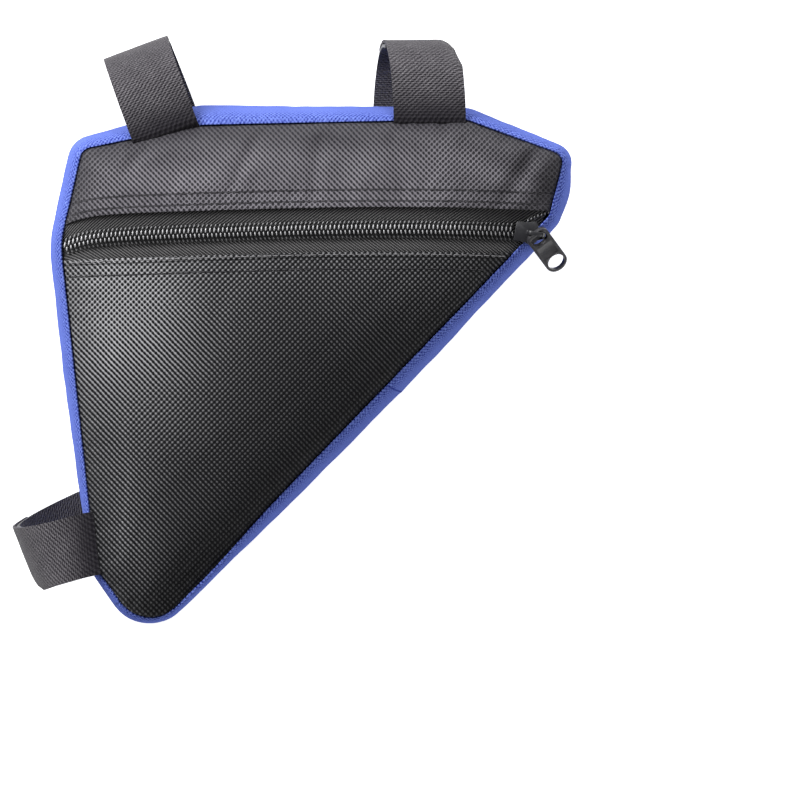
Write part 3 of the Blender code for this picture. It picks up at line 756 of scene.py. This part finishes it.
def settle(piece, held, reach):
    before = get_points(piece)
    pins = piece.vertex_groups.new(name="held")
    for index, weight in enumerate(held):
        if weight > 0:
            pins.add([index], float(weight), "REPLACE")
    pick(piece)
    bpy.ops.object.modifier_add(type="CLOTH")
    cloth = piece.modifiers[-1]
    rules = cloth.settings
    rules.quality = 5
    rules.vertex_group_mass = pins.name
    rules.effector_weights.gravity = 0
    rules.shrink_min = -CLOTH_GROWTH
    rules.use_pressure = True
    rules.uniform_pressure_force = CLOTH_PRESSURE
    rules.bending_stiffness = 2.0
    cloth.collision_settings.use_collision = False
    cloth.point_cache.frame_start = 1
    cloth.point_cache.frame_end = CLOTH_STEPS
    for step in range(1, CLOTH_STEPS + 1):
        scene.frame_set(step)
    bpy.ops.object.modifier_apply(modifier=cloth.name)
    scene.frame_set(1)
    moved = get_points(piece) - before
    far = np.linalg.norm(moved, axis=1, keepdims=True)
    set_points(piece, before + moved * np.minimum(1, reach / np.maximum(far, 1e-9)))
    piece.vertex_groups.clear()
    print(piece.name, "settled by", round(float(np.minimum(far, reach).mean()) * 1000, 2), "mm")


def grain_at(points, size, seed):
    """Smooth noise from about -1 to 1 at each point."""
    shift = Vector((seed * 7.3, seed * 3.1, seed * 5.7))
    return np.array([noise.noise(Vector(p).to_3d() / size + shift) for p in points])


def crease(xy, strength):
    """Short creases that run in from the seam where its stitches gather the cloth."""
    away, nearest = seam_distance(xy)
    round_seam = as_table(nearest * SEAM_LENGTH / SEAM_STEPS, 0 * nearest)
    gather = grain_at(round_seam, 0.0042, 1) + 0.6 * grain_at(round_seam, 0.0023, 2)
    broad = grain_at(xy, 0.022, 3)
    beside = np.exp(-away / 0.0055) * (1 - np.exp(-away / 0.0009))
    return strength * (0.00085 * gather * beside + 0.00045 * broad * (1 - np.exp(-away / 0.01)))


# %% [markdown]
# ## The two front panels
#
# Both are made the same way: the grid, its dome, the simulation, one subdivision, the creases
# beside the seams, then a wall of real thickness below. Their edge along the zip is folded under,
# so it is a thicker, rounded lip.


# %% Front panels
HEM_WIDTH, HEM_RISE = 0.0026, 0.00035
# the panel ends inside the side wall's lip, and its edge turns down there
INSIDE_LIP, EDGE_DROP, EDGE_WIDTH = 0.0007, 0.0011, 0.001


def front_panel(name, sides, columns, rows, edge_row, reach, material):
    piece, uv = unit_grid(name, columns, rows)
    plan_points = coons(uv, *sides)
    set_points(piece, as_table(plan_points, front_height(plan_points)))
    rim = (np.abs(uv - 0.5).max(axis=1) > 0.4999).astype(float)
    settle(piece, rim, reach)
    apply(piece, "SUBSURF", levels=1, render_levels=1, boundary_smooth="PRESERVE_CORNERS")
    points = get_points(piece)
    lip_distance = np.abs(points[:, 1] - zip_at(points[:, 0], edge_row))
    hem = np.exp(-((lip_distance / HEM_WIDTH) ** 4))
    from_seam, nearest = seam_distance(points[:, :2])
    outside = ((points[:, :2] - seam[nearest, :2]) * seam[nearest, 2:4]).sum(axis=1) + INSIDE_LIP
    points[:, :2] -= seam[nearest, 2:4] * np.maximum(0, outside)[:, None]
    points[:, 2] += crease(points[:, :2], 1.0) * (1 - hem) + HEM_RISE * hem
    points[:, 2] -= EDGE_DROP * np.exp(-from_seam / EDGE_WIDTH)
    set_points(piece, points)
    write_uv(piece, as_table(from_seam, lip_distance))
    apply(piece, "SOLIDIFY", thickness=WALL * 0.8, offset=-1)
    apply(piece, "BEVEL", width=0.0004, segments=2, limit_method="ANGLE", angle_limit=1.0)
    shade(piece, material)
    return piece


upper_panel = front_panel(
    "upper_panel_cloth", upper_sides(TAPE_ABOVE), 96, 18, TAPE_ABOVE, 0.0022, black_upper
)
lower_panel = front_panel(
    "lower_panel_cloth", lower_sides(-TAPE_BELOW), 76, 70, -TAPE_BELOW, 0.0003, black_lower
)
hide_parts("front_panel_upper")
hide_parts("front_panel_lower")

# %% [markdown]
# ## The back panel
#
# It is one piece of black cloth, flat where the bag rests on it and lifted to the seam round its
# edge. Just below the seam it rolls out a little, and a dark edge shows under the side wall.

# %% Back panel
back_cloth, grid = unit_grid("back_panel_cloth", 110, 110)
back_sides = (
    seam_run(place_of("left_top"), place_of("bottom", 0))[::-1],
    seam_run(place_of("bottom", 2), place_of("right_top")),
    seam_run(place_of("bottom", 0), place_of("bottom", 2)),
    seam_run(place_of("right_top"), place_of("left_top"))[::-1],
)
flat = coons(grid, *back_sides)
away, nearest = seam_distance(flat)
lift = BACK_SEAM * (1 - np.minimum(1, away / BACK_REACH)) ** 2
lift += np.abs(crease(flat, 0.8)) * np.exp(-away / 0.012)
roll = away * 1.6 * np.exp(-((away / 0.0042) ** 2))
lift -= np.minimum(lift, 1.1 * away * np.exp(-((away / 0.006) ** 2)))
rolled = flat + seam[nearest, 2:4] * roll[:, None]
set_points(back_cloth, as_table(rolled, lift))
write_uv(back_cloth, as_table(away, np.ones_like(away)))
apply(back_cloth, "SOLIDIFY", thickness=WALL * 0.8, offset=1)
shade(back_cloth, black_back)
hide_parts("back_panel")

# %% [markdown]
# ## The blue side wall
#
# The side wall is one long strip of blue oxford, sewn to both panels and joined on the slanted
# side. A circle with as many points as the seam has steps is extruded upwards in rows, and each row
# is drawn out to the bulging section. Close to a seam the stitches pull the cloth in, one small
# scallop to a stitch.

# %% Side wall
WALL_ROWS = 26
SCALLOP = 0.003
JOIN_AT = 0.57


def extruded(name, sides, radius, rows, fill):
    """A circle extruded upwards, one metre to a row, to be drawn into shape."""
    deselect()
    bpy.ops.mesh.primitive_circle_add(vertices=sides, radius=radius, fill_type=fill)
    piece = bpy.context.object
    piece.name = piece.data.name = name
    bpy.ops.object.mode_set(mode="EDIT")
    bpy.ops.mesh.select_all(action="SELECT")
    for _ in range(rows):
        bpy.ops.mesh.extrude_region_move(TRANSFORM_OT_translate={"value": (0, 0, 1)})
    bpy.ops.mesh.select_all(action="SELECT")
    bpy.ops.mesh.normals_make_consistent(inside=False)
    bpy.ops.object.mode_set(mode="OBJECT")
    return piece


side_wall = extruded("side_wall_cloth", SEAM_STEPS, 1, WALL_ROWS, "NOTHING")
raw = get_points(side_wall)
turn = np.arctan2(raw[:, 1], raw[:, 0]) % (2 * math.pi)
column = np.round(turn / (2 * math.pi) * SEAM_STEPS).astype(int) % SEAM_STEPS
share = (1 - np.cos(np.pi * raw[:, 2] / WALL_ROWS)) / 2
length = column * SEAM_LENGTH / SEAM_STEPS
swell = np.sin(np.pi * share) ** 0.5
at_seam = np.exp(-((1 - share) / 0.05)) + np.exp(-(share / 0.05))
scallops = np.abs(np.sin(np.pi * length / SCALLOP))
angle = length / SEAM_LENGTH * 2 * math.pi
ring = SEAM_LENGTH / 6.28
loop_place = as_table(np.cos(angle) * ring, np.sin(angle) * ring, share * DEPTH)
dents = grain_at(loop_place, 0.016, 5) + 0.5 * grain_at(loop_place, 0.006, 6)
gathers = grain_at(loop_place * (1, 1, 0.12), 0.0036, 7)
diagonal_start, diagonal_end = place_of("bottom", 2), place_of("right_low", 0)
join = (diagonal_start + (diagonal_end - diagonal_start) * JOIN_AT) * SEAM_LENGTH / SEAM_STEPS
join_line = join + JOIN_BEND * np.sin(np.pi * share)
past_join = length - join_line
overlap = np.clip(past_join / 0.0012 + 1, 0, 1) * np.exp(-np.maximum(0, past_join) / 0.006)
out = GAP / 2 + seam[column, 4] * swell + 0.0003 * dents * swell
out += at_seam * 0.00022 * scallops + 0.00035 * gathers * at_seam * swell + 0.0002 * overlap * swell
lip = np.exp(-(1 - share) / 0.025)
out -= lip * (0.0003 + 0.0002 * scallops)
spot = seam[column, :2] + seam[column, 2:4] * out[:, None]
height = BACK_SEAM + DEPTH * share + lip * (0.0004 + 0.0002 * scallops)
set_points(side_wall, as_table(spot, height))
# the UV map runs over a middling bulge
section = np.linspace(0, 1, WALL_ROWS + 1)
wide = GAP / 2 + BULGE * 0.5 * np.sqrt(np.sin(np.pi * (1 - np.cos(np.pi * section)) / 2))
rise = DEPTH * (1 - np.cos(np.pi * section)) / 2
run = np.r_[0, np.cumsum(np.hypot(np.diff(wide), np.diff(rise)))]
write_uv(side_wall, as_table(length, run[np.round(raw[:, 2]).astype(int)]))

# %% Give the side wall its thickness
middle = side_wall.data.polygons[len(side_wall.data.polygons) // 2]
if middle.center.xy.dot(middle.normal.xy) < 0:
    bpy.ops.object.mode_set(mode="EDIT")
    bpy.ops.mesh.flip_normals()
    bpy.ops.object.mode_set(mode="OBJECT")
apply(side_wall, "SOLIDIFY", thickness=WALL * 0.7, offset=-1)
blue_wall = blue_oxford("blue_oxford", (0.001, 0.006, 0.15), (0.138, 0.19, 0.54), join)
shade(side_wall, blue_wall)
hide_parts("gusset")

# %% [markdown]
# ## The zip
#
# A coil zip is two tapes, each with a nylon spiral sewn along its edge, whose turns hook into each
# other. From the front a turn shows as a short upright head in the middle and a slanted arm down to
# the tape. One turn is a thin bent rod, copied along both sides half a pitch apart.


# %% Zip tapes
def tape_top(xy):
    return front_height(xy) - WALL - TAPE_DROP


def tape(name, inner, outer):
    piece, uv = unit_grid(name, 120, 10)
    low, high = zip_run(min(inner, outer)), zip_run(max(inner, outer))
    left, right = (np.array([low[end], high[end]]) for end in (0, -1))
    flat_points = coons(uv, left, right, low, high)
    sag = 0.0002 * grain_at(flat_points, 0.012, 9)
    from_middle = flat_points[:, 1] - zip_at(flat_points[:, 0])
    rise = 0.001 * np.clip((np.abs(from_middle) - 0.004) / 0.004, 0, 1)
    set_points(piece, as_table(flat_points, tape_top(flat_points) + sag + rise))
    write_uv(piece, as_table(flat_points[:, 0], from_middle))
    apply(piece, "SOLIDIFY", thickness=0.0009, offset=-1)
    shade(piece, tape_cloth)
    return piece


upper_tape = tape("upper_zip_tape", GAP / 2, TAPE_ABOVE + TAPE_TUCK)
lower_tape = tape("lower_zip_tape", -GAP / 2, -TAPE_BELOW - TAPE_TUCK)
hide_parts("zip_tape_upper")
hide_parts("zip_tape_lower")

# %% One turn of the coil
COIL_PITCH = 0.00165
ROD = 0.00029
# (along, across, height) of the bent rod, in metres, from its head to the tape
TURN = (
    (-0.00010, -0.00030, 0.0010),
    (-0.00006, 0.00010, 0.0019),
    (-0.00002, 0.00060, 0.00235),
    (0.00006, 0.00140, 0.00235),
    (0.00014, 0.00195, 0.0017),
    (0.00030, 0.00235, 0.0013),
    (0.00062, 0.00300, 0.0013),
    (0.00085, 0.00345, 0.0004),
)
RING_SIDES = 6


def rod_through(path, radius):
    """The points and faces of a bent rod, a disc extruded from point to point of a path."""
    path = [Vector(p) for p in path]
    piece = extruded("rod", RING_SIDES, radius, len(path) - 1, "NGON")
    shaped = []
    for x, y, level in get_points(piece):
        i = min(len(path) - 1, max(0, int(round(level))))
        way = (path[min(i + 1, len(path) - 1)] - path[max(i - 1, 0)]).normalized()
        turn = Vector((0, 0, 1)).rotation_difference(way)
        taper = 0.6 if i in (0, len(path) - 1) else 1.0
        shaped.append(path[i] + turn @ Vector((x * taper, y * taper, 0)))
    faces = get_faces(piece)
    bpy.data.objects.remove(piece)
    return np.array(shaped), faces


turn_points, turn_faces = rod_through(TURN, ROD)


# %% Copy it along the zip
LOWER_ROW = 0.89  # the level that the mirrored row's colour reads, so that its painted highlights are dimmer: painted shade on the lower row


def many(name, copies, faces, material, uv=None):
    """One mesh of many copies of a small shape, each its points and whether it is mirrored."""
    points, all_faces = [], []
    for moved, mirrored in copies:
        base = len(points)
        points.extend(map(tuple, moved))
        all_faces += [tuple(base + i for i in (face[::-1] if mirrored else face)) for face in faces]
    mesh = bpy.data.meshes.new(name)
    mesh.from_pydata(points, [], all_faces)
    piece = bpy.data.objects.new(name, mesh)
    scene.collection.objects.link(piece)
    if uv is not None:
        levels = [LOWER_ROW if mirrored else 1 for _, mirrored in copies]
        write_uv(piece, np.vstack([uv * (1, level) for level in levels]))
    shade(piece, material, 70)
    return piece


def on_zip(shape, x, side):
    """A shape in (along, across, height) laid on the tape at x, on one side of the zip."""
    local = shape * (1, side, 1)
    plan_x = x + local[:, 0]
    plan_y = zip_at(plan_x) + local[:, 1]
    base = tape_top(as_table(plan_x, plan_y))
    return as_table(plan_x, plan_y, base + local[:, 2])


coil_low, coil_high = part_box("zip_coil")
# from just inside the left seam to just under the slider
first_x, last_x = coil_low.x + 0.0004, coil_high.x + 0.0018
turns = int((last_x - first_x) / COIL_PITCH)
copies = []
for i in range(turns):
    x = first_x + i * COIL_PITCH
    copies.append((on_zip(turn_points, x, 1), False))
    copies.append((on_zip(turn_points, x + COIL_PITCH / 2, -1), True))
turn_uv = as_table(turn_points[:, 1], turn_points[:, 2])
coil = many("coil_turns", copies, turn_faces, coil_nylon, turn_uv)
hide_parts("zip_coil")

# %% [markdown]
# ## Stitches
#
# A line of stitching is a row of short threads that dip into the cloth at both ends. One stitch is
# a rod of five points, and copies of it follow the zip on the panels.

# %% Stitch rows beside the zip
STITCH = 0.0024
STITCH_GAP = 0.0005
THREAD_RADIUS = 0.00019
STITCH_PATH = (
    (-STITCH / 2, 0, -0.00030),
    (-STITCH / 2 + 0.0003, 0, 0.00004),
    (0, 0, 0.00014),
    (STITCH / 2 - 0.0003, 0, 0.00004),
    (STITCH / 2, 0, -0.00030),
)
stitch_points, stitch_faces = rod_through(STITCH_PATH, THREAD_RADIUS)


def stitch_row(offset, carrier, scale=1.0, right_in=0.004):
    """Copies of the stitch along the zip at an offset, laid on the carrier's top."""
    line = zip_run(offset)
    top = BVHTree.FromPolygons([Vector(point) for point in get_points(carrier)], get_faces(carrier))
    down = Vector((0, 0, -1))
    rows = []
    x = line[0, 0] + 0.004
    while x < line[-1, 0] - right_in:
        local = stitch_points * (1, scale, scale)
        plan_x = x + local[:, 0]
        plan_y = zip_at(plan_x, offset) + local[:, 1]
        hits = [top.ray_cast(Vector((*spot, 0.2)), down)[0] for spot in zip(plan_x, plan_y)]
        if None not in hits:
            heights = np.array([hit.z for hit in hits]) + local[:, 2]
            rows.append((as_table(plan_x, plan_y, heights), False))
        x += STITCH + STITCH_GAP
    return rows


dark_rows = stitch_row(TAPE_ABOVE + 0.0023, upper_panel)
dark_rows += stitch_row(TAPE_ABOVE + 0.0066, upper_panel)
dark_rows += stitch_row(-TAPE_BELOW - 0.0064, lower_panel)
panel_stitches = many("panel_stitches", dark_rows, stitch_faces, seam_thread)
light_rows = stitch_row(-TAPE_BELOW - 0.0009, lower_panel, 0.9, right_in=0.001)
edge_stitches = many("edge_stitches", light_rows, stitch_faces, edge_thread)

# %% [markdown]
# ## Parted teeth beyond the slider
#
# Past the slider the two halves of the chain come apart. The upper half shows as a few teeth that
# climb towards the corner of the bag.

# %% Parted teeth
parted_line = np.array(((0.0915, 0.0418), (0.0948, 0.0436), (0.0995, 0.045)))
local = turn_points * (0.8, 0.55, 0.6)
parted = []
for spot_x, spot_y in read_line(parted_line, *even(parted_line, 7)):
    plan_xy = as_table(spot_x + local[:, 0], spot_y + local[:, 1])
    parted.append((as_table(plan_xy, tape_top(plan_xy) + local[:, 2]), False))
parted_teeth = many("parted_teeth", parted, turn_faces, coil_nylon, turn_uv)

# %% [markdown]
# ## Slider and pull
#
# Both are small metal castings whose shape is already right in the CAD model, but a cast edge is
# never sharp: the thin bright line along it makes painted metal look like metal. So each solid is
# copied, its triangles are merged into clean faces and a narrow bevel rounds every edge.


# %% Round the castings
def casting(node, name, width, material):
    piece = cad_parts[node].copy()
    piece.data = piece.data.copy()
    piece.parent = None
    for key in list(piece.keys()):
        del piece[key]
    piece.name = piece.data.name = name
    piece.data.materials.clear()
    scene.collection.objects.link(piece)
    pick(piece)
    bpy.ops.object.mode_set(mode="EDIT")
    bpy.ops.mesh.select_all(action="SELECT")
    bpy.ops.mesh.remove_doubles(threshold=0.00001)
    bpy.ops.mesh.dissolve_limited(angle_limit=math.radians(1))
    bpy.ops.object.mode_set(mode="OBJECT")
    apply(piece, "BEVEL", width=width, segments=2, limit_method="ANGLE", angle_limit=math.radians(35))
    shade(piece, material, 40)
    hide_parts(node)
    return piece


slider = casting("zip_slider", "slider_casting", 0.00022, slider_paint)
pull = casting("zip_pull", "pull_casting", 0.0002, pull_paint)

# %% [markdown]
# ## The straps
#
# Each strap is two lengths of tape, one sewn to the front seam with its soft side out and one to
# the back seam, pressed together at the outer end. A strap is a strip that follows the CAD model's
# path: a simulation would only crumple it.

# %% Strap path
STRAP_REACH, STRAP_THICKNESS = 0.031, 0.0014
# side: the edge of the loop that is drawn in at its outer end, by a rounded corner and a slant
# skew and dip: how far the loop moves sideways from front to back, and half way round
Strap = namedtuple("Strap", "name across up turn width squareness reach skew dip side corner slant")
STRAPS = (
    Strap("strap_top_left", 0.208, 0.976, 110.5, 0.0262, 0.55, 0.0344, 0.03, 0.0, 1, 0.0, 0.0),
    Strap("strap_top_right", 0.731, 0.998, 90.0, 0.0278, 0.55, 0.0310, -0.26, 0.0, 1, 0.0085, 0.0),
    Strap("strap_seat_tube", 0.069, 0.181, 185.7, 0.0245, 0.80, 0.0310, 0.30, -0.0300, -1, 0.0020, 0.0070),
)


def strap_centre(strap, step, inset):
    """(reach, height) at shares of the way round the loop, moved in by inset."""
    top = FRONT_SEAM + GAP + STRAP_THICKNESS / 2
    bottom = BACK_SEAM - GAP - STRAP_THICKNESS / 2 - (STRAP_THICKNESS + GAP)
    middle, half = (top + bottom) / 2, (top - bottom) / 2

    def path(share):
        turn = np.pi * np.clip(share, 0, 1)
        out = strap.reach * np.maximum(0, np.sin(turn)) ** strap.squareness
        return as_table(out, middle + half * np.cos(turn))

    here = path(step)
    ahead = path(step + 0.01) - path(step - 0.01)
    ahead /= np.maximum(1e-9, np.linalg.norm(ahead, axis=1, keepdims=True))
    return here + as_table(ahead[:, 1], -ahead[:, 0]) * inset


def seam_reach(start, way):
    """How far the outside of the seam lies from a point, along a way out."""
    outline = seam[:, :2] + seam[:, 2:4] * GAP / 2
    offset = outline - start
    off_line = np.abs(way[0] * offset[:, 1] - way[1] * offset[:, 0])
    near = np.argsort(off_line + (np.abs(offset @ way) > STRAP_REACH) * 1.0)[:2]
    return float((offset[near] @ way).mean())


# %% Strap bands
BAND_COLUMNS, BAND_ROWS = 16, 64


def band(name, strap, inset, first, last, outer, inner):
    """A strip over part of the loop, a wall with one material outside the loop and one inside."""
    piece, uv = unit_grid(name, BAND_COLUMNS, BAND_ROWS)
    way = np.array([math.cos(math.radians(strap.turn)), math.sin(math.radians(strap.turn))])
    side = np.array([way[1], -way[0]])
    base = np.array([LEFT + strap.across * WIDTH, LOW + strap.up * HEIGHT])
    step = first + (last - first) * (uv[:, 1] ** 1.8 if first == 0 else uv[:, 1])
    path = strap_centre(strap, step, inset)
    across = (uv[:, 0] - 0.5) * strap.width
    aside = strap.skew * STRAP_REACH * step + strap.dip * step * (1 - step)
    row_start = base + np.outer(aside, side)
    starts = row_start + np.outer(across, side)
    starts_at_seam = np.array([seam_reach(point, way) for point in starts])
    near_seam = np.exp(-np.minimum(step, 1 - step) / 0.03)
    to_side = (uv[:, 0] * 2 - 1) * strap.side
    to_edge = np.clip((to_side - 0.5) / 0.5, 0, 1)
    round_loop = np.sin(np.pi * np.clip(step, 0, 1)) ** 2
    drawn_in = strap.corner * (1 - np.sqrt(1 - to_edge**2)) + strap.slant * (to_side + 1) / 2
    drawn_in = drawn_in * round_loop
    reach = np.maximum(path[:, 0] - drawn_in, starts_at_seam)
    seed = sum(map(ord, strap.name)) % 17
    wave = grain_at(as_table(across, step * 0.08), 0.016, seed)
    height = path[:, 1] + 0.0004 * wave * (1 - near_seam)
    if first == 0:
        reach -= 0.0026 * np.exp(-path[:, 0] / 0.0016)
        height += 0.001 * np.exp(-((path[:, 0] / 0.0045) ** 2)) - 0.0026 * np.exp(-path[:, 0] / 0.0004)
    spot = starts + np.outer(reach + 0.0003 * wave * (1 - near_seam), way)
    set_points(piece, as_table(spot, height))
    shares = np.linspace(0, 1, 2001) ** 1.8
    whole = strap_centre(strap, shares, inset)
    run = np.r_[0, np.cumsum(np.linalg.norm(np.diff(whole, axis=0), axis=1))]
    write_uv(piece, as_table(across, np.interp(step, shares, run)))
    piece.data.materials.append(outer)
    piece.data.materials.append(inner)
    apply(piece, "SOLIDIFY", thickness=STRAP_THICKNESS * 0.86, offset=0, material_offset=1)
    shade(piece, None)
    return piece


bands = []
for strap in STRAPS:
    outside = band(strap.name + "_soft_band", strap, 0, 0, 0.7, soft_tape, soft_tape)
    inside_inset = STRAP_THICKNESS + GAP
    inside = band(strap.name + "_hook_band", strap, inside_inset, 0.4, 1, hook_tape, soft_tape)
    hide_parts(strap.name + "_loop")
    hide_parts(strap.name + "_hook")
    bands += [outside, inside]

# %% [markdown]
# ## Tell the frame what moves
#
# Everything rides on the bag but the pull, which swings.

# %% Ride
for piece, slot in (
    (upper_panel, "black_oxford"),
    (lower_panel, "black_oxford"),
    (back_cloth, "black_oxford"),
    (side_wall, "blue_oxford"),
    (upper_tape, "zip_tape"),
    (lower_tape, "zip_tape"),
    (coil, "zip_coil"),
    (parted_teeth, "zip_coil"),
    (panel_stitches, "zip_tape"),
    (edge_stitches, "zip_tape"),
    (slider, "slider_metal"),
    *((piece, "strap_tape") for piece in bands),
):
    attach(piece, "bag")
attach(pull, "pull")

# %% Sizes, and the end
shown_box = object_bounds()
for label, box in (("cad box", cad_box), ("shown box", shown_box)):
    print(label, [[round(c, 4) for c in corner] for corner in box])
